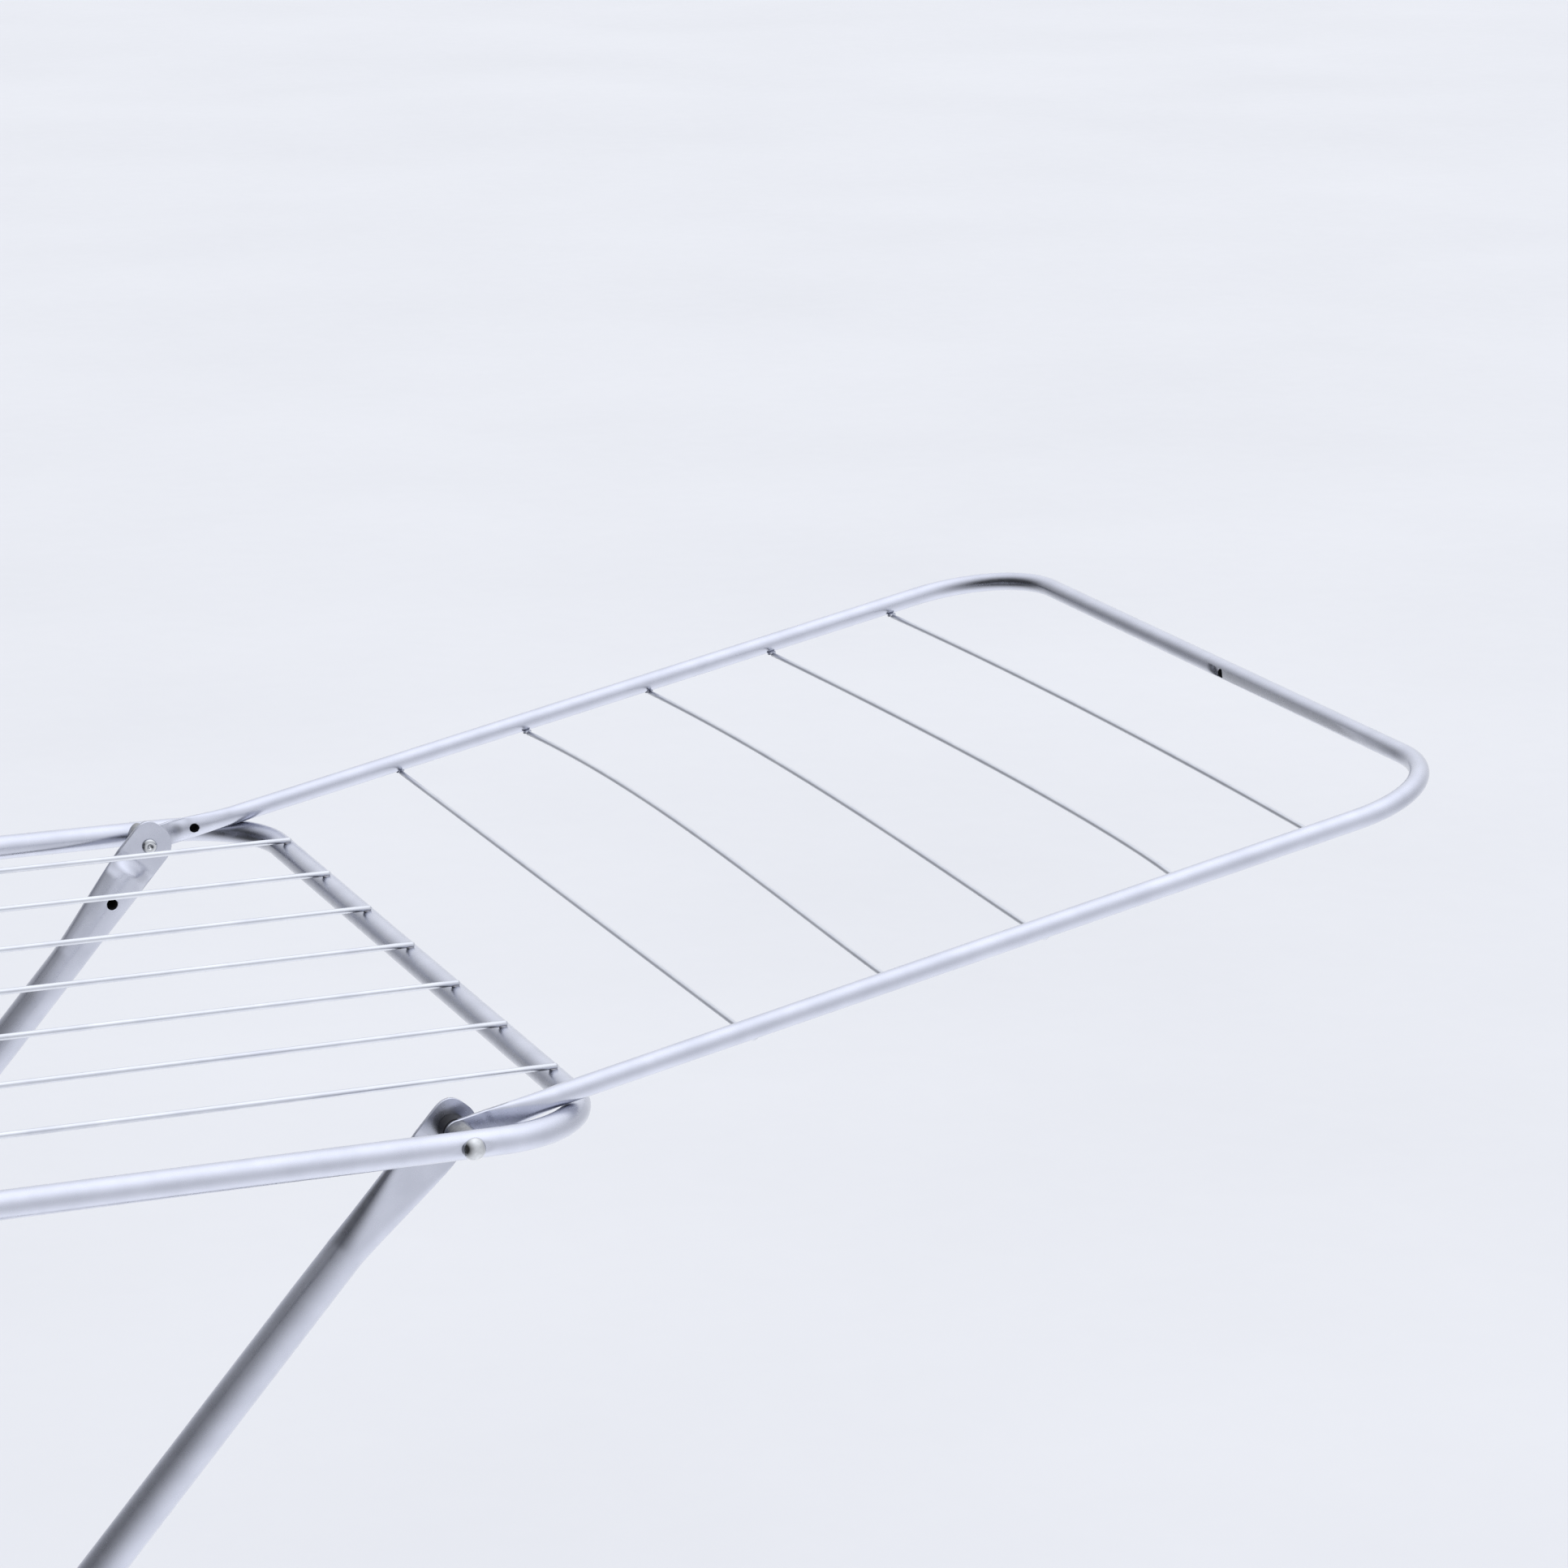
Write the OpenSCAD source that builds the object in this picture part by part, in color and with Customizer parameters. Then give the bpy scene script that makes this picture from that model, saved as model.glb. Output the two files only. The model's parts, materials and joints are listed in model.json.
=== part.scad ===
// Free-standing winged clothes airer: a wire-decked main frame on crossed legs,
// with a folding wing hinged at each end. Length along X, width along Y, floor at z = 0.

/* [Main frame] */
// height of the main frame's tube centreline above the floor
frame_h = 920; // [700:1:1100]
// half width between the centrelines of the long side tubes
frame_half_w = 277; // [200:1:350]
// half length between the centrelines of the end cross tubes
frame_half_l = 421; // [300:1:600]
// outside diameter of the main frame tube
frame_d = 12.7; // [10:0.1:20]
// centreline bend radius of the main frame corners
frame_bend = 50; // [30:1:90]
// drying wire diameter on the main frame
main_wire_d = 3; // [2:0.1:5]

/* [Wings] */
// distance from the pivots to the frame's end cross tube
pivot_inset = 64.5; // [50:0.5:90]
// distance from the pivots to the wing's end tube
wing_len = 513; // [300:1:600]
// half width between the wing arm centrelines
wing_half_w = 257; // [180:1:330]
// upward tilt of an opened wing
wing_tilt = 12.2; // [8:0.1:20]
// outside diameter of the wing tube
wing_d = 9.8; // [8:0.1:16]
// centreline bend radius of the wing corners
wing_bend = 58; // [30:1:90]
// place of the hole along the wing's end tube, from its middle towards the far side
wing_hole_y = -15; // [-150:1:150]
// drying wire diameter on the wings
wing_wire_d = 2.5; // [2:0.1:4]
// distance from the pivots to the first wing wire
wing_wire_first = 144; // [100:1:200]
// spacing of the wing wires
wing_wire_pitch = 73.5; // [40:0.5:100]

/* [Legs] */
// outside diameter of the leg tubes
leg_d = 18; // [14:0.5:25]
// half width between the outer leg frame's centrelines
leg_a_half_w = 243; // [180:1:320]
// half width between the inner leg frame's centrelines
leg_b_half_w = 223; // [160:1:300]
// height of the crossing rivets above the floor
cross_h = 510; // [400:1:600]
// centreline bend radius at the floor bars
leg_bend = 50; // [30:1:90]
// drop of the inner leg's top bar below the main frame
bar_drop = 19; // [17:0.5:25]
// height of the floor bar centreline
floor_bar_h = 12; // [10:0.5:20]

/* [Hidden] */
wall = 1.1;
rivet_d = 5;
run_gap = 0.05;
main_sink = 0.5;
wing_sink = 0.8;
seat = 0.4;
pivot_x = frame_half_l - pivot_inset;
leg_a_slope = atan((frame_h - cross_h) / pivot_x);
half_leg = norm([pivot_x, frame_h - cross_h]);
bar_z = frame_h - bar_drop;
bar_x = -sqrt(half_leg * half_leg - (bar_z - cross_h) * (bar_z - cross_h));
leg_b_slope = atan((bar_z - cross_h) / -bar_x);
leg_a_low = (cross_h - floor_bar_h) / sin(leg_a_slope);
leg_b_low = (cross_h - floor_bar_h) / sin(leg_b_slope);
wing_face = wing_half_w + wing_d / 2;
leg_face = leg_a_half_w + leg_d / 2;
frame_inner = frame_half_w - frame_d / 2;
frame_outer = frame_half_w + frame_d / 2;
tab_t = 2 * wall;
main_wire_pitch = frame_half_w / 4;
main_wire_z = frame_h + frame_d / 2 + main_wire_d / 2 - main_sink;
main_wire_reach = frame_half_l + 1.2;
wing_wire_reach = wing_half_w - 1;
plug_y = 288;
foot_y = 150;
$fn = 48;

// ---------- shared shapes ----------

// round rod along Y between two y values
module y_rod(d, y0, y1) {
    translate([0, y1, 0])
        rotate([90, 0, 0])
            cylinder(d = d, h = y1 - y0);
}

// round rod along X between two x values
module x_rod(d, x0, x1) {
    translate([x0, 0, 0])
        rotate([0, 90, 0])
            cylinder(d = d, h = x1 - x0);
}

// quarter bend in the XY plane about the origin, from +X round to +Y
module bend(d, r) {
    rotate_extrude(angle = 90)
        translate([r, 0])
            circle(d = d);
}

// both corners and the cross tube of a U whose cross tube lies at x = len
module u_end(d, len, half_w, r) {
    for (side = [-1, 1])
        mirror([0, side < 0 ? 1 : 0, 0])
            translate([len - r, half_w - r, 0])
                bend(d, r);
    translate([len, 0, 0])
        y_rod(d, -(half_w - r), half_w - r);
}

// solid U: two arms starting at x0 and a rounded end at x = len
module u_rod(d, x0, len, half_w, r) {
    for (side = [-1, 1])
        translate([0, side * half_w, 0])
            x_rod(d, x0, len - r);
    u_end(d, len, half_w, r);
}

// arm end pressed flat on its outer (+Y) side: tab, transition and drain hole
module pressed_end(d, tab_w, tab_x, tube_x, drain_d, drain_x) {
    difference() {
        union() {
            translate([0, d / 2, 0])
                rotate([90, 0, 0])
                    cylinder(d = tab_w, h = tab_t);
            translate([0, d / 2 - tab_t, -tab_w / 2])
                cube([tab_x, tab_t, tab_w]);
            hull() {
                translate([tab_x - 0.1, d / 2 - tab_t, -tab_w / 2])
                    cube([0.1, tab_t, tab_w]);
                translate([tube_x, 0, 0])
                    rotate([0, 90, 0])
                        cylinder(d = d, h = 0.1, $fn = 32);
            }
        }
        hull() {
            translate([tab_x + 6, d / 2 - wall - 0.1, -tab_w / 2 + wall])
                cube([0.1, 0.1, tab_w - 2 * wall]);
            translate([tube_x + 0.1, 0, 0])
                rotate([0, 90, 0])
                    cylinder(d = d - 2 * wall, h = 0.1, $fn = 32);
        }
        y_rod(rivet_d + 2 * run_gap, d / 2 - tab_t - 1, d / 2 + 1);
        translate([drain_x, 0, 0])
            y_rod(drain_d, -d / 2, d / 2 - wall - 0.2);
    }
}

// place a shape on the outer side of both arms of a U
module both_arms(half_w) {
    for (side = [0, 1])
        mirror([0, side, 0])
            translate([0, half_w, 0])
                children();
}

// ---------- placements ----------

module at_right_pivot() {
    translate([pivot_x, 0, frame_h])
        children();
}

module on_wing() {
    at_right_pivot()
        rotate([0, -wing_tilt, 0])
            children();
}

module on_leg_a() {
    at_right_pivot()
        rotate([0, 180 - leg_a_slope, 0])
            children();
}

module on_leg_b() {
    translate([bar_x, 0, bar_z])
        rotate([0, leg_b_slope, 0])
            children();
}

// side = 1 is the right pivot, -1 the left; far = 1 is +Y, -1 is -Y
module at_pivot(side, far) {
    mirror([side < 0 ? 1 : 0, 0, 0])
        mirror([0, far < 0 ? 1 : 0, 0])
            at_right_pivot()
                children();
}

// ---------- main frame ----------

module frame_rod(d) {
    for (side = [0, 1])
        mirror([side, 0, 0])
            u_end(d, frame_half_l, frame_half_w, frame_bend);
    for (side = [-1, 1])
        translate([0, side * frame_half_w, 0])
            x_rod(d, -(frame_half_l - frame_bend), frame_half_l - frame_bend);
}

module main_frame_tube() {
    color("silver")
        difference() {
            translate([0, 0, frame_h]) {
                difference() {
                    frame_rod(frame_d);
                    frame_rod(frame_d - 2 * wall);
                }
            }
            for (side = [-1, 1], far = [-1, 1])
                at_pivot(side, far) {
                    y_rod(rivet_d, frame_inner - 1, frame_outer + 1);
                    y_rod(10.4, frame_outer - seat, frame_outer + 2);
                }
        }
}

module main_wire(i) {
    color("silver")
        difference() {
            translate([0, (i - 4) * main_wire_pitch, main_wire_z])
                x_rod(main_wire_d, -main_wire_reach, main_wire_reach);
            for (side = [-1, 1])
                translate([side * frame_half_l, 0, frame_h])
                    y_rod(frame_d, -frame_half_w, frame_half_w);
        }
}

// ---------- wings ----------

module wing_tube() {
    color("silver")
        on_wing() {
            difference() {
                u_rod(wing_d, 45, wing_len, wing_half_w, wing_bend);
                u_rod(wing_d - 2 * wall, 44, wing_len, wing_half_w, wing_bend);
                translate([wing_len, wing_hole_y, 0])
                    rotate([0, -85, 0])
                        cylinder(d = 5, h = wing_d);
            }
            both_arms(wing_half_w)
                pressed_end(wing_d, 12.4, 14, 45, 5, 27);
        }
}

module wing_wire(i) {
    color("silver")
        on_wing()
            translate([wing_wire_first + (i - 1) * wing_wire_pitch, 0, 0])
                difference() {
                    translate([0, 0, wing_sink - wing_d / 2 - wing_wire_d / 2])
                        y_rod(wing_wire_d, -wing_wire_reach, wing_wire_reach);
                    for (side = [-1, 1])
                        translate([0, side * wing_half_w, 0])
                            x_rod(wing_d, -9, 9);
                }
}

module left() {
    mirror([1, 0, 0])
        children();
}

// ---------- legs ----------

module leg_outer_tube() {
    leg_len = half_leg + leg_a_low;
    color("silver")
        on_leg_a()
            difference() {
                union() {
                    difference() {
                        u_rod(leg_d, 72, leg_len, leg_a_half_w, leg_bend);
                        u_rod(leg_d - 2 * wall, 71, leg_len, leg_a_half_w, leg_bend);
                    }
                    both_arms(leg_a_half_w)
                        pressed_end(leg_d, 24, 11.5, 72, 6, 36);
                }
                both_arms(leg_a_half_w)
                    translate([half_leg, 0, 0])
                        y_rod(rivet_d, -leg_d, leg_d);
            }
}

module leg_inner_tube() {
    leg_len = half_leg + leg_b_low;
    color("silver")
        on_leg_b()
            difference() {
                u_rod(leg_d, -8, leg_len, leg_b_half_w, leg_bend);
                u_rod(leg_d - 2 * wall, -9, leg_len, leg_b_half_w, leg_bend);
                both_arms(leg_b_half_w) {
                    translate([half_leg, 0, 0])
                        y_rod(rivet_d + 2 * run_gap, -leg_d, leg_d);
                    y_rod(frame_d, -leg_d, leg_d);
                }
            }
}

module leg_top_bar() {
    color("silver")
        translate([bar_x, 0, bar_z])
            difference() {
                y_rod(frame_d, -plug_y, plug_y);
                y_rod(frame_d - 2 * wall, -plug_y - 1, plug_y + 1);
            }
}

module bar_plug(far) {
    color("dimgray")
        mirror([0, far < 0 ? 1 : 0, 0])
            translate([bar_x, 0, bar_z]) {
                y_rod(frame_d, plug_y, plug_y + 2);
                y_rod(frame_d - 2 * wall, plug_y - 12, plug_y);
            }
}

// clip round the side tube with a hook below it, open towards the frame's left end
module bar_clip(far) {
    clip_y0 = frame_half_w - 13;
    clip_y1 = frame_half_w + 9.5;
    clip_x1 = bar_x + 13;
    color("dimgray")
        mirror([0, far < 0 ? 1 : 0, 0])
            difference() {
                translate([bar_x - 12, clip_y0, bar_z - 10])
                    cube([clip_x1 - bar_x + 12, clip_y1 - clip_y0, bar_drop + 19.5]);
                translate([0, 0, frame_h])
                    frame_rod(frame_d);
                translate([bar_x, 0, bar_z])
                    y_rod(frame_d + 0.2, 0, plug_y + 20);
                translate([bar_x - 20, 0, bar_z - frame_d / 2 - 0.6])
                    cube([20, plug_y + 20, frame_d + 0.7]);
            }
}

// ---------- pivots ----------

// domed head outside the frame tube, shank through the stack and rolled tail inside
module pivot_rivet(side, far) {
    tail_y = side > 0 ? leg_face - tab_t : wing_face - tab_t - 1.7;
    color("gainsboro")
        at_pivot(side, far) {
            y_rod(rivet_d, tail_y - 1.6, frame_outer - seat);
            translate([0, frame_outer - seat, 0])
                intersection() {
                    translate([0, -1, 0])
                        sphere(d = 10.6);
                    y_rod(12, 0, 6);
                }
            y_rod(8, tail_y - 1.7, tail_y - 0.2);
        }
}

module pivot_bush(side, far) {
    color("silver")
        at_pivot(side, far)
            difference() {
                y_rod(12.5, wing_face + 0.2, frame_half_w);
                y_rod(rivet_d, wing_face, frame_half_w + 1);
                translate([0, frame_half_w, 0])
                    x_rod(frame_d, -20, 20);
            }
}

module pivot_washer(side, far) {
    y0 = side > 0 ? leg_face + 0.2 : wing_face - tab_t - 0.2 - 1.5;
    y1 = wing_face - tab_t - 0.2;
    color("dimgray")
        at_pivot(side, far)
            difference() {
                y_rod(13, y0, y1);
                y_rod(rivet_d, y0 - 1, y1 + 1);
            }
}

module cross_rivet(far) {
    y_in = leg_b_half_w - leg_d / 2;
    y_out = leg_a_half_w + leg_d / 2;
    color("gainsboro")
        mirror([0, far < 0 ? 1 : 0, 0])
            translate([0, 0, cross_h]) {
                y_rod(rivet_d, y_in - 2, y_out + 2);
                y_rod(10, y_out, y_out + 2);
                y_rod(10, y_in - 2.2, y_in - 0.2);
            }
}

module cross_washer(far) {
    y0 = leg_b_half_w + leg_d / 2 + 0.1;
    y1 = leg_a_half_w - leg_d / 2;
    color("dimgray")
        mirror([0, far < 0 ? 1 : 0, 0])
            translate([0, 0, cross_h])
                difference() {
                    y_rod(14, y0, y1);
                    y_rod(rivet_d, y0 - 1, y1 + 1);
                }
}

// ---------- feet ----------

module foot_pad(bar_x0, far) {
    color("dimgray")
        translate([bar_x0, far * foot_y, 0])
            difference() {
                union() {
                    translate([0, 0, floor_bar_h])
                        y_rod(leg_d + 5, -18, 18);
                    translate([-9, -18, 0])
                        cube([18, 36, floor_bar_h]);
                }
                translate([0, 0, floor_bar_h])
                    y_rod(leg_d, -20, 20);
            }
}

foot_outer_x = -(cross_h - floor_bar_h) / tan(leg_a_slope);
foot_inner_x = (cross_h - floor_bar_h) / tan(leg_b_slope);

main_frame_tube();
main_wire(1);  // main_wire_1
main_wire(2);  // main_wire_2
main_wire(3);  // main_wire_3
main_wire(4);  // main_wire_4
main_wire(5);  // main_wire_5
main_wire(6);  // main_wire_6
main_wire(7);  // main_wire_7
wing_tube();  // wing_right_tube
wing_wire(1);  // wing_right_wire_1
wing_wire(2);  // wing_right_wire_2
wing_wire(3);  // wing_right_wire_3
wing_wire(4);  // wing_right_wire_4
wing_wire(5);  // wing_right_wire_5
left() wing_tube();  // wing_left_tube
left() wing_wire(1);  // wing_left_wire_1
left() wing_wire(2);  // wing_left_wire_2
left() wing_wire(3);  // wing_left_wire_3
left() wing_wire(4);  // wing_left_wire_4
left() wing_wire(5);  // wing_left_wire_5
leg_outer_tube();
leg_inner_tube();
leg_top_bar();
bar_plug(-1);  // bar_plug_near
bar_plug(1);  // bar_plug_far
bar_clip(-1);  // bar_clip_near
bar_clip(1);  // bar_clip_far
pivot_rivet(1, -1);  // pivot_rivet_right_near
pivot_rivet(1, 1);  // pivot_rivet_right_far
pivot_rivet(-1, -1);  // pivot_rivet_left_near
pivot_rivet(-1, 1);  // pivot_rivet_left_far
pivot_bush(1, -1);  // pivot_bush_right_near
pivot_bush(1, 1);  // pivot_bush_right_far
pivot_bush(-1, -1);  // pivot_bush_left_near
pivot_bush(-1, 1);  // pivot_bush_left_far
pivot_washer(1, -1);  // pivot_washer_right_near
pivot_washer(1, 1);  // pivot_washer_right_far
pivot_washer(-1, -1);  // pivot_washer_left_near
pivot_washer(-1, 1);  // pivot_washer_left_far
cross_rivet(-1);  // cross_rivet_near
cross_rivet(1);  // cross_rivet_far
cross_washer(-1);  // cross_washer_near
cross_washer(1);  // cross_washer_far
foot_pad(foot_outer_x, -1);  // foot_pad_outer_near
foot_pad(foot_outer_x, 1);  // foot_pad_outer_far
foot_pad(foot_inner_x, -1);  // foot_pad_inner_near
foot_pad(foot_inner_x, 1);  // foot_pad_inner_far
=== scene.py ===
"""Looks for the winged clothes airer: pressed tube ends, welded wires, satin coating, light and camera."""

import json
import math

import bmesh
import bpy
from mathutils import Matrix, Vector


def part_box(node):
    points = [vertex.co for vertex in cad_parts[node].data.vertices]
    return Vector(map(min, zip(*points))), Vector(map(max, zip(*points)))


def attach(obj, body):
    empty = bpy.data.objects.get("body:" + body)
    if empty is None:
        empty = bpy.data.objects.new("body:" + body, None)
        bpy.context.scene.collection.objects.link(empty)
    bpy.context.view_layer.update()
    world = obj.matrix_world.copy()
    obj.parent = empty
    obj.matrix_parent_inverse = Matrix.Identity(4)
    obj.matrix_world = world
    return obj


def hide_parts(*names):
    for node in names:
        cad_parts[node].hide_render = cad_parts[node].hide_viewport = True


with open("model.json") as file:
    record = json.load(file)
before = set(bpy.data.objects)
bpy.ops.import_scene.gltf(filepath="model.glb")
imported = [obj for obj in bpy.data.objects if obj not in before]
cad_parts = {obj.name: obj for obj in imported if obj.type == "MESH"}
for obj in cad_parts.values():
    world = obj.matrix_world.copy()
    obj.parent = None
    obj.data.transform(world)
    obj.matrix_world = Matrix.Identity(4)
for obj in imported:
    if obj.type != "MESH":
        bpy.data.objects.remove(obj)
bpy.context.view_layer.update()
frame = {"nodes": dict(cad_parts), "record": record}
SIDES = (-1, 1)


# ---------- where things are, read from the frame ----------


def joint(name):
    """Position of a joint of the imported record."""
    found = [j for j in frame["record"]["behaviour"]["joints"] if j["name"] == name]
    return Vector(found[0]["pos_m"])


def size_of(node):
    """Width, depth and height of a CAD node."""
    lo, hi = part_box(node)
    return hi - lo


PIVOT_RIGHT = joint("wing_right_fold")
PIVOT_LEFT = joint("wing_left_fold")
CROSSING = joint("leg_scissor")
MAIN_R = size_of("main_frame_tube").z / 2
MAIN_HALF_W = size_of("main_frame_tube").y / 2 - MAIN_R
MAIN_HALF_L = size_of("main_frame_tube").x / 2 - MAIN_R
MAIN_BEND = 0.050
WING_R = 0.0049
WING_TILT = math.radians(12.2)
WING_LEN = 0.513
WING_BEND = 0.058
WING_HALF_W = size_of("wing_right_tube").y / 2 - WING_R
WING_HOLE_Y = -0.015
WING_HOLE_R = 0.0024
WING_WIRE_R = size_of("wing_right_wire_1").z / 2
WING_WIRE_FIRST = 0.144
WING_WIRE_PITCH = 0.0735
WING_WIRE_SINK = 0.0008
LEG_R = 0.009
LEG_BEND = 0.050
LEG_HALF_W = size_of("leg_outer_tube").y / 2 - LEG_R
LEG_UPPER = (PIVOT_RIGHT - CROSSING).length
LEG_SLOPE = math.atan2(PIVOT_RIGHT.z - CROSSING.z, PIVOT_RIGHT.x - CROSSING.x)
FLOOR_BAR_Z = 0.012
LEG_LEN = LEG_UPPER + (CROSSING.z - FLOOR_BAR_Z) / math.sin(LEG_SLOPE)
TAB_T = 0.0022
HALF_RING = 20
PRESS_STEP = 0.0012
CREASE_REACH = 0.0016
GATHER = 1.6


# ---------- materials ----------


class Shader:
    """A node material built step by step."""

    def __init__(self, name):
        self.mat = bpy.data.materials.new(name)
        self.mat.use_nodes = True
        self.nodes = self.mat.node_tree.nodes
        self.links = self.mat.node_tree.links
        self.bsdf = self.nodes["Principled BSDF"]
        self.where = self.nodes.new("ShaderNodeTexCoord").outputs["Object"]

    def noise(self, scale, detail=3.0, roughness=0.5):
        node = self.nodes.new("ShaderNodeTexNoise")
        node.inputs["Scale"].default_value = scale
        node.inputs["Detail"].default_value = detail
        node.inputs["Roughness"].default_value = roughness
        self.links.new(self.where, node.inputs["Vector"])
        return node.outputs["Fac"]

    def spread(self, value, low, high):
        """Maps a 0 to 1 value onto low to high."""
        node = self.nodes.new("ShaderNodeMapRange")
        node.inputs["From Min"].default_value = 0.25
        node.inputs["From Max"].default_value = 0.75
        node.inputs["To Min"].default_value = low
        node.inputs["To Max"].default_value = high
        self.links.new(value, node.inputs["Value"])
        return node.outputs["Result"]

    def blend(self, value, dark, light):
        node = self.nodes.new("ShaderNodeMix")
        node.data_type = "RGBA"
        node.inputs["A"].default_value = (*dark, 1)
        node.inputs["B"].default_value = (*light, 1)
        self.links.new(value, node.inputs["Factor"])
        return node.outputs["Result"]

    def bump(self, value, strength, distance):
        node = self.nodes.new("ShaderNodeBump")
        node.inputs["Strength"].default_value = strength
        node.inputs["Distance"].default_value = distance
        self.links.new(value, node.inputs["Height"])
        self.links.new(node.outputs["Normal"], self.bsdf.inputs["Normal"])

    def set(self, **values):
        for name, value in values.items():
            self.bsdf.inputs[name.replace("_", " ")].default_value = value

    def plug(self, output, name):
        self.links.new(output, self.bsdf.inputs[name])


def metal_coat(name, dark, light, metallic, rough_low, rough_high):
    """Satin metallic coating: faint flakes, soft cloudiness and a slight orange peel."""
    s = Shader(name)
    s.plug(s.blend(s.spread(s.noise(60, 4), 0, 1), dark, light), "Base Color")
    s.plug(s.spread(s.noise(220, 3), rough_low, rough_high), "Roughness")
    s.set(Metallic=metallic, Coat_Weight=0.15, Coat_Roughness=0.25)
    s.bump(s.noise(1800, 2), 0.06, 0.00003)
    return s.mat


def plated(name, dark, light, rough_low, rough_high):
    """Bare plated metal with fine handling marks."""
    s = Shader(name)
    s.plug(s.blend(s.spread(s.noise(400, 4), 0, 1), dark, light), "Base Color")
    s.plug(s.spread(s.noise(900, 4), rough_low, rough_high), "Roughness")
    s.set(Metallic=1.0)
    s.bump(s.noise(1500, 3), 0.05, 0.00002)
    return s.mat


def moulded(name, dark, light, rough_low, rough_high):
    """Moulded plastic with a fine spark-eroded grain."""
    s = Shader(name)
    s.plug(s.blend(s.spread(s.noise(120, 4), 0, 1), dark, light), "Base Color")
    s.plug(s.spread(s.noise(300, 3), rough_low, rough_high), "Roughness")
    s.set(Specular_IOR_Level=0.2)
    s.bump(s.noise(2500, 2), 0.25, 0.00008)
    return s.mat


TUBE = metal_coat("tube_coat", (0.49, 0.505, 0.58), (0.56, 0.575, 0.655), 1.0, 0.25, 0.31)
WIRE = metal_coat("wire_coat", (0.54, 0.555, 0.61), (0.64, 0.655, 0.70), 1.0, 0.28, 0.36)
# dark weld beads: painted shade in the notch where each main wire end meets the tube
WELD_SHADE = metal_coat("weld_bead_painted_shade", (0.20, 0.20, 0.23), (0.45, 0.45, 0.49), 0.8, 0.35, 0.55)
CHROME = plated("rivet_chrome", (0.46, 0.47, 0.49), (0.58, 0.59, 0.61), 0.06, 0.14)
STEEL = plated("bush_steel", (0.16, 0.165, 0.175), (0.30, 0.305, 0.32), 0.15, 0.28)
NYLON = moulded("washer_nylon", (0.010, 0.010, 0.012), (0.022, 0.022, 0.025), 0.35, 0.5)
PLASTIC = moulded("grey_plastic", (0.035, 0.037, 0.042), (0.06, 0.062, 0.068), 0.42, 0.58)
# near-black painted shade for the walls of the drilled holes, standing in for the dark inside of the tube
HOLE_SHADE = moulded("tube_inside_painted_shade", (0.004, 0.004, 0.005), (0.012, 0.012, 0.014), 0.7, 0.9)

BY_SLOT = {
    "tube_coat": TUBE,
    "wire_coat": WIRE,
    "rivet_chrome": CHROME,
    "bush_steel": STEEL,
    "washer_plastic": NYLON,
    "clip_plastic": PLASTIC,
    "foot_plastic": PLASTIC,
}


# ---------- mesh helpers ----------


def mesh_object(name, points, faces, material):
    mesh = bpy.data.meshes.new(name)
    mesh.from_pydata([tuple(p) for p in points], [], faces)
    mesh.validate()
    obj = bpy.data.objects.new(name, mesh)
    bpy.context.scene.collection.objects.link(obj)
    obj.data.materials.append(material)
    work = bmesh.new()
    work.from_mesh(mesh)
    bmesh.ops.remove_doubles(work, verts=work.verts, dist=1e-7)
    bmesh.ops.recalc_face_normals(work, faces=work.faces)
    work.to_mesh(mesh)
    work.free()
    mesh.shade_smooth()
    return obj


def circle(centre, side, other, radius, count):
    """Ring of points round centre in the plane of two unit vectors."""
    ring = []
    for k in range(count):
        a = 2 * math.pi * k / count
        ring.append(centre + side * (radius * math.cos(a)) + other * (radius * math.sin(a)))
    return ring


def loft(name, rings, material, closed=False):
    """Skin over a row of rings with equal point counts; the two end rings are capped."""
    count = len(rings[0])
    points = [p for ring in rings for p in ring]
    faces = []
    steps = len(rings) if closed else len(rings) - 1
    for i in range(steps):
        a, b = i * count, ((i + 1) % len(rings)) * count
        for k in range(count):
            m = (k + 1) % count
            faces.append((a + k, a + m, b + m, b + k))
    if not closed:
        faces.append(tuple(range(count)))
        faces.append(tuple(range(len(points) - count, len(points))))
    return mesh_object(name, points, faces, material)


def cut(obj, cutter):
    """Takes a closed mesh out of another and keeps the cutter's near-black painted shade on the new walls."""
    modifier = obj.modifiers.new("cut", "BOOLEAN")
    modifier.object = cutter
    modifier.operation = "DIFFERENCE"
    modifier.solver = "EXACT"
    modifier.material_mode = "TRANSFER"
    graph = bpy.context.evaluated_depsgraph_get()
    result = bpy.data.meshes.new_from_object(obj.evaluated_get(graph), depsgraph=graph)
    obj.modifiers.clear()
    obj.data = result
    bpy.data.objects.remove(cutter)


def rod(name, start, end, radius, material, count=24):
    """Plain round rod between two points."""
    axis = (end - start).normalized()
    side = axis.orthogonal().normalized()
    other = axis.cross(side)
    rings = [circle(centre, side, other, radius, count) for centre in (start, end)]
    return loft(name, rings, material)


def turned(name, profile, centre, outward, material, count=40):
    """Turned piece: (radius, distance along outward) pairs swept round a line through centre."""
    side = outward.orthogonal().normalized()
    other = outward.cross(side)
    rings = []
    for radius, along in profile:
        rings.append(circle(centre + outward * along, side, other, max(radius, 1e-5), count))
    return loft(name, rings, material)


def smooth(t, low, high):
    """0 below low, 1 above high, an S curve between."""
    x = min(max((t - low) / (high - low), 0.0), 1.0)
    return x * x * (3 - 2 * x)


# ---------- bent tubes with pressed ends ----------


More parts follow.
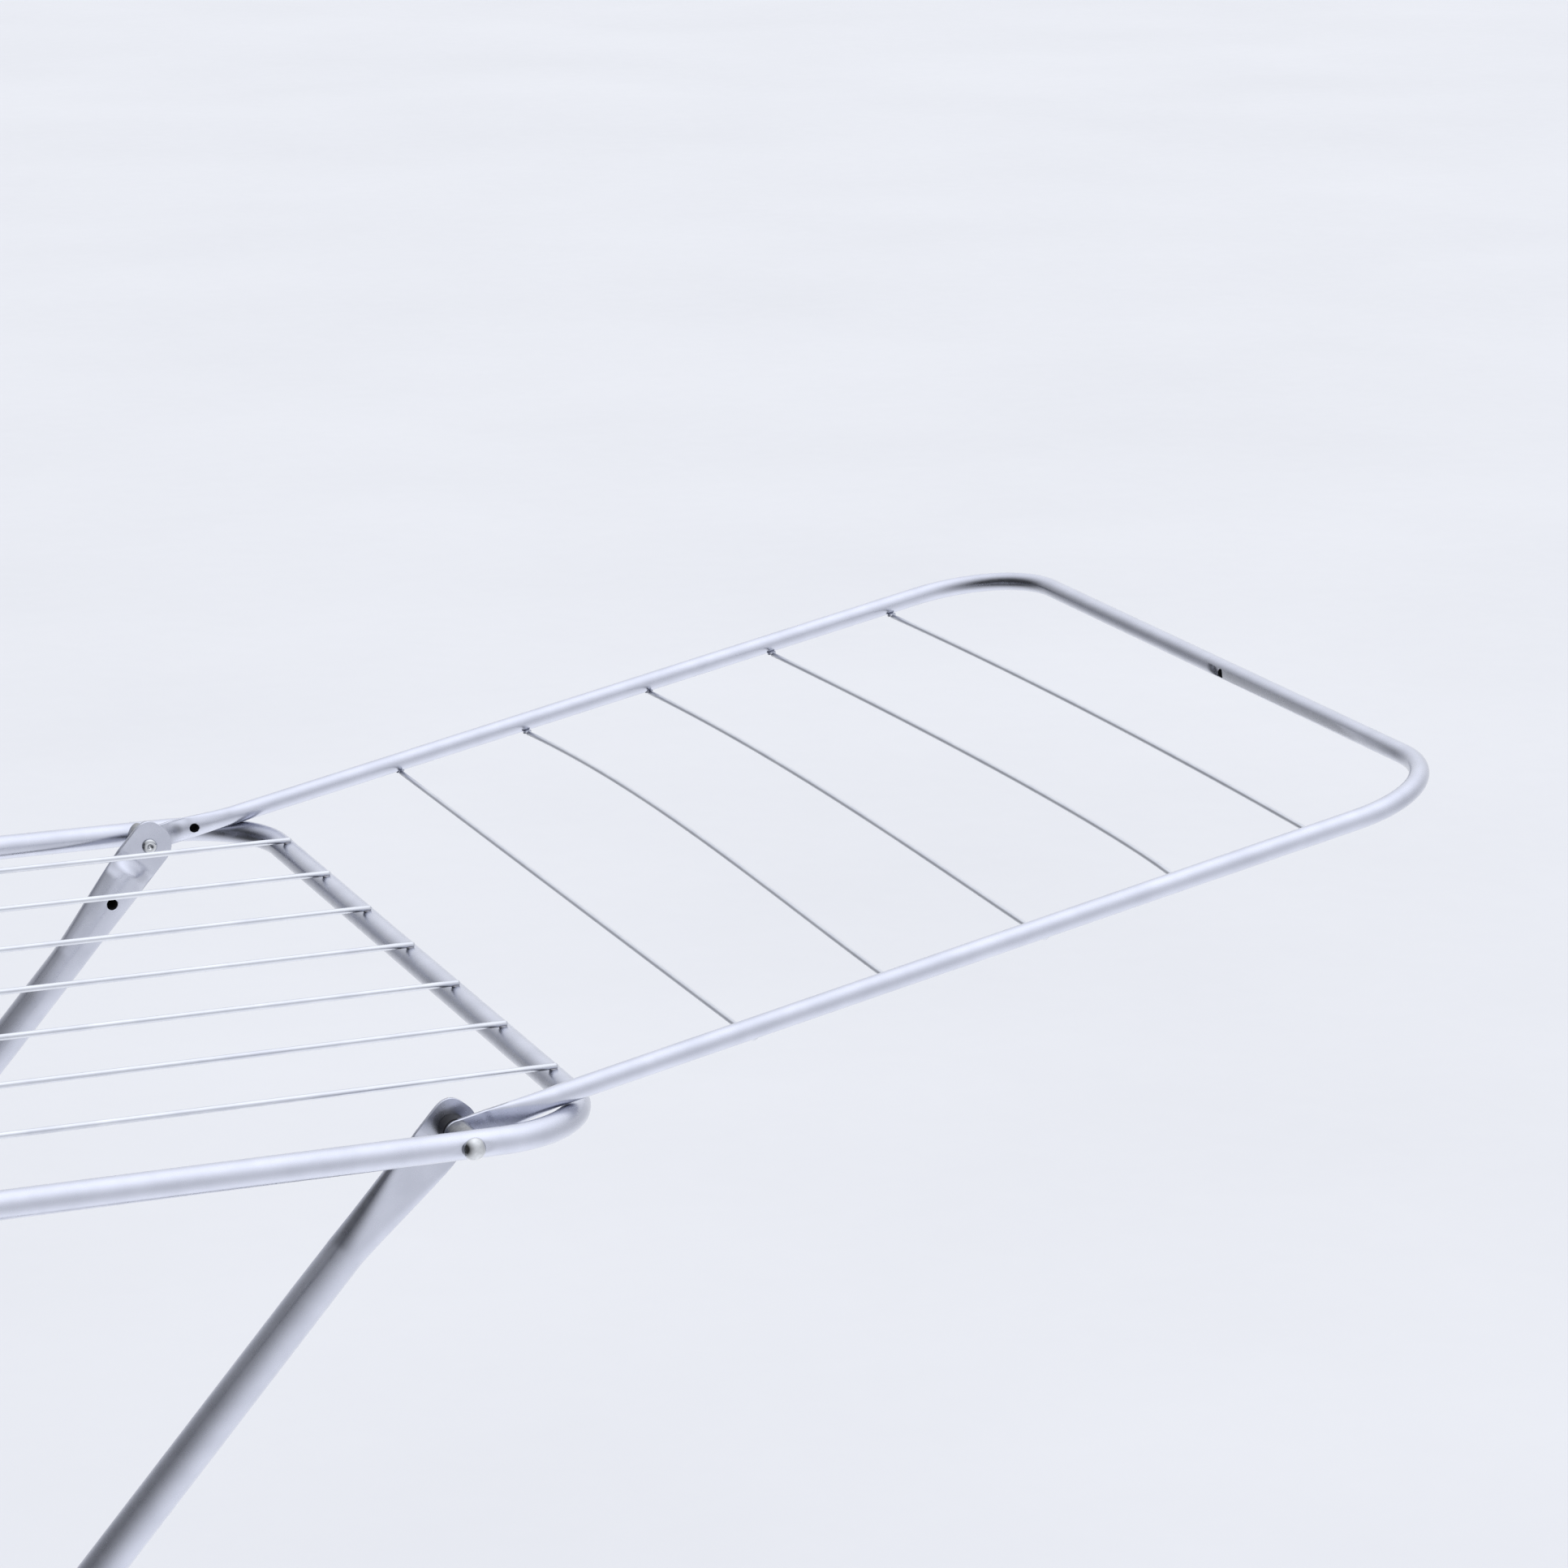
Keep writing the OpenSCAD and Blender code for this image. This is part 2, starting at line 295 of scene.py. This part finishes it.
def u_path(length, half_w, bend, tip, pressed_to):
    """Points of one half of a U, from the arm's tip to the middle of the cross tube.
    Each is (point, outward normal, distance along the arm or None past the pressed part)."""
    stops = [tip * math.cos(math.pi * k / 24) for k in range(12)]
    stops += [0.0]
    while stops[-1] < pressed_to:
        stops.append(stops[-1] + PRESS_STEP)
    while stops[-1] + 0.05 < length - bend:
        stops.append(stops[-1] + 0.05)
    path = [(Vector((t, half_w, 0)), Vector((0, 1, 0)), t) for t in stops]
    for k in range(21):
        a = math.pi / 2 * (1 - k / 20)
        out = Vector((math.cos(a), math.sin(a), 0))
        centre = Vector((length - bend, half_w - bend, 0))
        path.append((centre + out * bend, out, None))
    path.append((Vector((length, 0, 0)), Vector((1, 0, 0)), None))
    return path


def ring_angles():
    """Angles up the outer side of a tube section and back down its inner side."""
    for k in range(2 * HALF_RING):
        inner = k >= HALF_RING
        a = math.pi * (k % HALF_RING) / HALF_RING - math.pi / 2
        yield inner, -a if inner else a


def pressed_ring(point, out, t, r, spec):
    """Cross section of a tube that is pressed flat towards its outer side near the arm's tip.
    Outside, the flat narrows to a point; inside, a steep step is followed by a long ramp."""
    past = max(t - spec["tab"], 0)
    flat = max(1 - past / spec["crease"], 0)
    rise = min(past / (spec["round"] - spec["tab"]), 1)
    step = min(past / spec["step_run"], 1)
    hollow = (1 - spec["step"] * step) * (1 - rise) ** spec["ramp"]
    gather = 1 + GATHER * (1 - min(past / (2 * spec["step_run"]), 1))
    ridge = spec["ridge"] * max(1 - abs(t - spec["tab"]) / CREASE_REACH, 0)
    broad = r + (spec["half_tab"] - r) * (1 - smooth(t, spec["tab"], spec["round"] * 0.8))
    wide = [broad, broad]
    if t < 0:
        tip = min(-t / spec["half_tab"], 0.99999)
        wide = [spec["half_tab"] * (1 - tip**n) ** (1 / n) for n in (spec["corner"], 2)]
    ring = []
    for inner, a in ring_angles():
        x, c = math.sin(a), math.cos(a)
        off_flat = max(abs(x) - flat, 0) / max(1 - flat, 1e-6)
        drop = 1 - math.sqrt(max(1 - min(off_flat, 1) ** 2, 0))
        surface = r - r * drop * (1 - flat) - ridge * c
        if inner:
            surface -= TAB_T * hollow + 2 * r * c**gather * (1 - hollow)
        ring.append(point + out * surface + Vector((0, 0, x * wide[x > 0])))
    return ring


def round_ring(point, out, r):
    """Round cross section with the same points as a pressed one."""
    ring = []
    for inner, a in ring_angles():
        depth = -math.cos(a) if inner else math.cos(a)
        ring.append(point + out * (r * depth) + Vector((0, 0, r * math.sin(a))))
    return ring


def pressed_u(name, length, half_w, bend, r, spec, material):
    """U-bent tube with both arm ends pressed flat, scooped and drilled."""
    half_path = u_path(length, half_w, bend, -spec["half_tab"], spec["round"] + 0.004)
    rings = []
    for point, out, t in half_path:
        if t is not None and t < spec["round"]:
            rings.append(pressed_ring(point, out, t, r, spec))
        else:
            rings.append(round_ring(point, out, r))
    mirrored = [[Vector((p.x, -p.y, p.z)) for p in ring] for ring in rings[-2::-1]]
    tube = loft(name, rings + mirrored, material)
    for side in SIDES:
        y = side * half_w
        start = Vector((spec["drain"], y - side * r * 1.5, 0))
        end = Vector((spec["drain"], y + side * (r - 0.0012), 0))
        cut(tube, rod("cutter", start, end, spec["drain_r"], HOLE_SHADE, 32))
    return tube


# Pressed ends, in metres along the arm from the pivot: the flat tab, the length over which the flat
# outside narrows to a point, the inner step (share of the depth and its run), the exponent of the
# ramp behind it, where the tube is round again, the tab's half width, the ridge at the crease,
# the squareness of the tab's corner on one side, and the drain hole's place and radius.
WING_SPEC = {
    "tab": 0.0145,
    "crease": 0.034,
    "step": 0.20,
    "step_run": 0.006,
    "ramp": 1.7,
    "round": 0.060,
    "half_tab": 0.0062,
    "ridge": 0.0004,
    "corner": 2,
    "drain": 0.027,
    "drain_r": 0.0025,
}
LEG_SPEC = {
    "tab": 0.0115,
    "crease": 0.060,
    "step": 0.36,
    "step_run": 0.006,
    "ramp": 1.5,
    "round": 0.100,
    "half_tab": 0.0120,
    "ridge": 0.0007,
    "corner": 3,
    "drain": 0.036,
    "drain_r": 0.0030,
}


# ---------- wires ----------


def bowed_rod(name, start, end, radius, sag, material, peak=0.5):
    """Thin round-tipped rod that bows sideways by sag, most at the given share of its length."""
    steps, count = 32, 12
    power = math.log(0.5) / math.log(peak)
    axis = (end - start).normalized()
    side = axis.orthogonal().normalized()
    other = axis.cross(side)
    length = (end - start).length
    shares = [radius / length * d for d in (0, 0.06, 0.3, 1)]
    shares += [i / steps for i in range(1, steps)]
    shares += [1 - u for u in shares[3::-1]]
    rings = []
    for u in shares:
        v = u**power
        centre = start.lerp(end, u) + sag * (4 * v * (1 - v))
        inset = max(1 - min(u, 1 - u) * length / radius, 0)
        here = radius * math.sqrt(max(1 - inset * inset, 0.02))
        rings.append(circle(centre, side, other, here, count))
    return loft(name, rings, material)


def weld_bead(name, centre, size, material):
    """Small squashed bead of upset metal where a wire is welded to a tube."""
    bpy.ops.mesh.primitive_uv_sphere_add(segments=20, ring_count=12, location=centre)
    bead = bpy.context.object
    bead.name = name
    bead.scale = size
    bpy.ops.object.transform_apply(location=True, rotation=True, scale=True)
    bead.data.materials.append(material)
    bead.data.shade_smooth()
    return bead


def join(parts, name):
    """Joins objects into the first one."""
    bpy.ops.object.select_all(action="DESELECT")
    for part in parts:
        part.select_set(True)
    bpy.context.view_layer.objects.active = parts[0]
    bpy.ops.object.join()
    parts[0].name = name
    return parts[0]


def set_in_place(obj, place, facing):
    """Moves a mesh to its place; a mirrored one gets its faces turned right side out."""
    obj.data.transform(place)
    if facing < 0:
        obj.data.flip_normals()


def show_as(obj, node, body):
    """Makes a finished piece stand for a CAD node on its body."""
    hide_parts(node)
    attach(obj, body)


# ---------- build: wings ----------

# half sizes of the weld beads
WING_BEAD = (0.0024, 0.0022, 0.0011)
MAIN_BEAD = (0.0022, 0.0021, 0.0007)

# for each wire: how far it bows, where it bows most, and how far its tips stop short of the arms
WING_WIRES = (
    (0.0, 0.5, 0.0002),
    (0.0058, 0.62, 0.0030),
    (0.0042, 0.58, 0.0002),
    (0.0056, 0.34, 0.0025),
    (0.0031, 0.50, 0.0030),
)


def build_wing(side_name, pivot, facing):
    """Wing tube and wires in the wing's own plane, turned up by the tilt and set on the pivot."""
    turn = Matrix.Rotation(-WING_TILT, 4, "Y")
    place = Matrix.Translation(pivot) @ Matrix.Scale(facing, 4, Vector((1, 0, 0))) @ turn
    tube = pressed_u(
        f"wing_{side_name}_bent_tube", WING_LEN, WING_HALF_W, WING_BEND, WING_R, WING_SPEC, TUBE
    )
    mouth = Vector((-0.996, 0, 0.087))
    middle = Vector((WING_LEN, WING_HOLE_Y, 0))
    cut(tube, rod("cutter", middle, middle + mouth * 2 * WING_R, WING_HOLE_R, HOLE_SHADE, 32))
    set_in_place(tube, place, facing)
    show_as(tube, f"wing_{side_name}_tube", f"wing_{side_name}")
    h = WING_WIRE_SINK - WING_R - WING_WIRE_R
    for i, (bow, peak, short) in enumerate(WING_WIRES):
        t = WING_WIRE_FIRST + WING_WIRE_PITCH * i
        reach = WING_HALF_W - short
        start, end = Vector((t, -reach, h)), Vector((t, reach, h))
        sag = Vector((bow * 0.7, 0, bow * 0.7))
        name = f"wing_{side_name}_drawn_wire_{i + 1}"
        wire = bowed_rod(name, start, end, WING_WIRE_R, sag, WIRE, peak)
        beads = []
        for side in SIDES:
            at = Vector((t, side * (reach - 0.0008), h + 0.0006))
            beads.append(weld_bead("bead", at, WING_BEAD, WIRE))
        wire = join([wire] + beads, wire.name)
        set_in_place(wire, place, facing)
        show_as(wire, f"wing_{side_name}_wire_{i + 1}", f"wing_{side_name}")


build_wing("right", PIVOT_RIGHT, 1)
build_wing("left", PIVOT_LEFT, -1)


# ---------- build: main wires with a dark bead of painted shade under each end ---


def build_main_wire(i):
    """Nearly straight wire with a flat weld bead under each end, coloured dark as painted shade where the
    wire meets the tube.
    """
    node = f"main_wire_{i}"
    lo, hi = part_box(node)
    middle, radius = (lo + hi) / 2, (hi.z - lo.z) / 2
    start = Vector((lo.x, middle.y, middle.z))
    end = Vector((hi.x, middle.y, middle.z))
    sag = Vector((0, 0.0006 * math.sin(2.1 * i), -0.0008))
    wire = bowed_rod(f"main_drawn_wire_{i}", start, end, radius, sag, WIRE)
    beads = []
    for side in SIDES:
        at = Vector((side * (MAIN_HALF_L - 0.0012), middle.y, middle.z - radius * 0.85))
        beads.append(weld_bead("bead", at, MAIN_BEAD, WELD_SHADE))
    wire = join([wire] + beads, wire.name)
    show_as(wire, node, "main_frame")


for number in range(1, 8):
    build_main_wire(number)


# ---------- build: outer leg frame, main hoop and pivot rivets ----------

RIVET_DENT = 0.0006
DOME_R = 0.0052
DOME_RISE = 0.0040
DOME_EDGE = 0.0003
SHANK_R = 0.0025


def build_outer_leg():
    """Leg tube with the scooped ends on the right pivot rivets."""
    turn = Matrix.Rotation(math.pi - LEG_SLOPE, 4, "Y")
    leg = pressed_u("leg_outer_bent_tube", LEG_LEN, LEG_HALF_W, LEG_BEND, LEG_R, LEG_SPEC, TUBE)
    set_in_place(leg, Matrix.Translation(PIVOT_RIGHT) @ turn, 1)
    show_as(leg, "leg_outer_tube", "leg_frame_a")


def build_main_hoop():
    """Closed rounded-rectangle tube with a shallow flat pressed round each rivet."""
    path = []
    centre = Vector((MAIN_HALF_L - MAIN_BEND, MAIN_HALF_W - MAIN_BEND, PIVOT_RIGHT.z))
    for quadrant in range(4):
        sx = 1 if quadrant in (0, 3) else -1
        sy = 1 if quadrant in (0, 1) else -1
        corner = Vector((sx * centre.x, sy * centre.y, centre.z))
        for k in range(21):
            a = math.pi / 2 * (quadrant + k / 20)
            out = Vector((math.cos(a), math.sin(a), 0))
            path.append((corner + out * MAIN_BEND, out))
        if quadrant in (0, 2):
            y = sy * MAIN_HALF_W
            for px in (sx * PIVOT_RIGHT.x, -sx * PIVOT_RIGHT.x):
                for step in range(-12, 13):
                    x = px - sx * step * 0.001
                    path.append((Vector((x, y, centre.z)), Vector((0, sy, 0))))
    rings = []
    for point, out in path:
        near = abs(abs(point.x) - PIVOT_RIGHT.x)
        on_side_tube = abs(out.y) > 0.999
        dent = RIVET_DENT * (1 - smooth(near, 0.004, 0.011)) if on_side_tube else 0
        ring = round_ring(point, out, MAIN_R)
        rings.append([p - out * min(max((p - point).dot(out) - MAIN_R + dent, 0), dent) for p in ring])
    hoop = loft("main_bent_tube", rings, TUBE, closed=True)
    show_as(hoop, "main_frame_tube", "main_frame")


def build_pivot_rivet(end, pivot, side_name, side):
    """Dome-headed semi-tubular rivet with its tail rolled over into a ring."""
    node = f"pivot_rivet_{end}_{side_name}"
    lo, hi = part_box(node)
    tail, top = sorted((abs(lo.y), abs(hi.y)))
    seat = top - DOME_EDGE - DOME_RISE
    profile = [(0, tail + 0.0016), (0.0009, tail + 0.0014), (0.0013, tail + 0.0004), (0.0020, tail)]
    profile += [(0.0031, tail + 0.0002), (0.0039, tail + 0.0008), (0.0040, tail + 0.0014)]
    profile += [(SHANK_R, tail + 0.0015), (SHANK_R, seat), (0.0050, seat), (DOME_R, seat + DOME_EDGE)]
    for k in range(1, 11):
        a = math.pi / 2 * k / 10
        profile.append((DOME_R * math.cos(a), seat + DOME_EDGE + DOME_RISE * math.sin(a)))
    centre = Vector((pivot.x, 0, pivot.z))
    rivet = turned(f"{end}_{side_name}_dome_rivet", profile, centre, Vector((0, side, 0)), CHROME)
    show_as(rivet, node, "main_frame")


build_outer_leg()
build_main_hoop()
for end_name, end_pivot in (("right", PIVOT_RIGHT), ("left", PIVOT_LEFT)):
    build_pivot_rivet(end_name, end_pivot, "near", -1)
    build_pivot_rivet(end_name, end_pivot, "far", 1)


# ---------- CAD nodes that stay as they are ----------

SLOTS = {s["node"]: s["material_slot"] for s in frame["record"]["subparts"]}
for node_name, node_object in frame["nodes"].items():
    node_object.data.materials.clear()
    node_object.data.materials.append(BY_SLOT[SLOTS[node_name]])


# ---------- floor, light and camera ----------


def stage_floor():
    """Plain pale matt floor, left out of reflections so that the tubes mirror only the room."""
    bpy.ops.mesh.primitive_plane_add(size=60, location=(0, 0, 0))
    floor = bpy.context.object
    floor.name = "floor"
    s = Shader("pale_floor")
    s.plug(s.blend(s.spread(s.noise(1.2, 4), 0, 1), (0.575, 0.58, 0.605), (0.605, 0.61, 0.635)), "Base Color")
    s.plug(s.spread(s.noise(25, 3), 0.7, 0.85), "Roughness")
    s.bump(s.noise(180, 3), 0.05, 0.0004)
    floor.data.materials.append(s.mat)
    floor.visible_glossy = False


def sun(name, towards, spread, strength):
    """Even soft light from far away, pointing along the given direction and not seen in reflections."""
    data = bpy.data.lights.new(name, "SUN")
    data.angle = math.radians(spread)
    data.energy = strength
    light = bpy.data.objects.new(name, data)
    light.rotation_mode = "QUATERNION"
    light.rotation_quaternion = Vector(towards).to_track_quat("-Z", "Y")
    light.visible_glossy = False
    bpy.context.scene.collection.objects.link(light)


# room brightness = these shares of the squared x, y and z of a direction, plus a lean to one side
SIDE_DEPTH_TOP_LIGHT = (0.25, 0.90, 1.60)
EXTRA_TOWARDS = (0.60, 0.0, 0.15)
DIMMEST = 0.05


def weighted(nodes, links, vector, weights):
    """Dot product of a vector output with fixed weights."""
    node = nodes.new("ShaderNodeVectorMath")
    node.operation = "DOT_PRODUCT"
    node.inputs[1].default_value = weights
    links.new(vector, node.inputs[0])
    return node.outputs["Value"]


def world_light():
    """Soft room light: bright overhead and to the right, medium in front and behind, dim to the left."""
    world = bpy.data.worlds.new("studio")
    bpy.context.scene.world = world
    world.use_nodes = True
    nodes, links = world.node_tree.nodes, world.node_tree.links
    where = nodes.new("ShaderNodeTexCoord").outputs["Generated"]
    squared = nodes.new("ShaderNodeVectorMath")
    squared.operation = "MULTIPLY"
    links.new(where, squared.inputs[0])
    links.new(where, squared.inputs[1])
    share = weighted(nodes, links, squared.outputs["Vector"], SIDE_DEPTH_TOP_LIGHT)
    lean = weighted(nodes, links, where, EXTRA_TOWARDS)
    total = nodes.new("ShaderNodeMath")
    total.operation = "ADD"
    links.new(share, total.inputs[0])
    links.new(lean, total.inputs[1])
    lifted = nodes.new("ShaderNodeMath")
    lifted.operation = "MAXIMUM"
    lifted.inputs[1].default_value = DIMMEST
    links.new(total.outputs["Value"], lifted.inputs[0])
    links.new(lifted.outputs["Value"], nodes["Background"].inputs["Strength"])
    nodes["Background"].inputs["Color"].default_value = (0.94, 0.96, 1.0, 1)


# camera and its aim, both measured from the right pivot
EYE_FROM_PIVOT = Vector((-0.659, -2.253, 0.710))
AIM_FROM_PIVOT = Vector((0.261, 0, 0.069))
LENS_MM = 115.4


def add_camera():
    """Long lens looking from the front left and from above the deck."""
    data = bpy.data.cameras.new("camera")
    data.lens = LENS_MM
    data.sensor_width = 36
    data.clip_start, data.clip_end = 0.05, 200
    camera = bpy.data.objects.new("camera", data)
    eye = PIVOT_RIGHT + EYE_FROM_PIVOT
    target = PIVOT_RIGHT + AIM_FROM_PIVOT
    camera.location = eye
    camera.rotation_mode = "QUATERNION"
    camera.rotation_quaternion = (target - eye).to_track_quat("-Z", "Y")
    bpy.context.scene.collection.objects.link(camera)
    bpy.context.scene.camera = camera


stage_floor()
sun("key", (-0.35, 0.55, -1.0), 30, 0.9)
bpy.context.scene.view_settings.view_transform = "Standard"
world_light()
add_camera()
